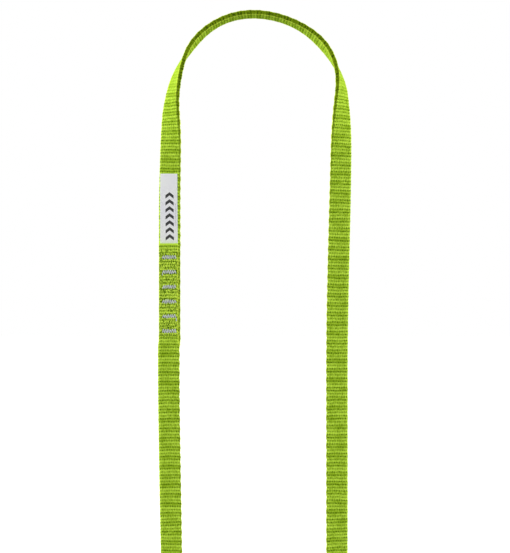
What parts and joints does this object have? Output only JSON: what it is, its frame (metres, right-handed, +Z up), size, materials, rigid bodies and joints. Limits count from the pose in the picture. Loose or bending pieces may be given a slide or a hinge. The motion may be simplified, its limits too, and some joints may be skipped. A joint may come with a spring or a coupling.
{
  "type": "sewn webbing sling",
  "caption": "Closed loop of flat woven webbing, lapped and bar-tacked on one leg, with a folded cloth label caught in the lap; it hangs from one bight and carries a load in the other.",
  "frame": {"origin": "inner face of the webbing at the middle of the top bight, where the sling hangs", "axes": "+Z up along the loop, +X across it from the spliced leg to the plain leg, the splice's front face and the label towards -Y"},
  "size_m": [0.1442, 0.016, 0.5364],
  "materials": {
    "webbing": "matt",
    "label": "satin",
    "thread": "satin"
  },
  "bodies": {
    "upper_loop": {"webbing_top_bight": "webbing", "webbing_front_end": "webbing", "label_tab": "label", "needle_thread_1": "thread", "needle_thread_2": "thread", "needle_thread_3": "thread", "needle_thread_4": "thread", "needle_thread_5": "thread", "needle_thread_6": "thread", "bobbin_thread_1": "thread", "bobbin_thread_2": "thread", "bobbin_thread_3": "thread", "bobbin_thread_4": "thread", "bobbin_thread_5": "thread", "bobbin_thread_6": "thread"},
    "lower_loop": {"webbing_bottom_bight": "webbing"},
    "label_flap": {"label_flap": "label"}
  },
  "joints": [
    {"name": "half_fold", "type": "hinge", "parent": "upper_loop", "child": "lower_loop", "pos_m": [0, 0.0085, -0.265], "axis": [1, 0, 0], "range_deg": [0, 180], "stiffness_Nm_per_rad": 0.0005},
    {"name": "label_lift", "type": "hinge", "parent": "upper_loop", "child": "label_flap", "pos_m": [0, 0, -0.1685], "axis": [1, 0, 0], "range_deg": [0, 90], "stiffness_Nm_per_rad": 0.0005}
  ]
}
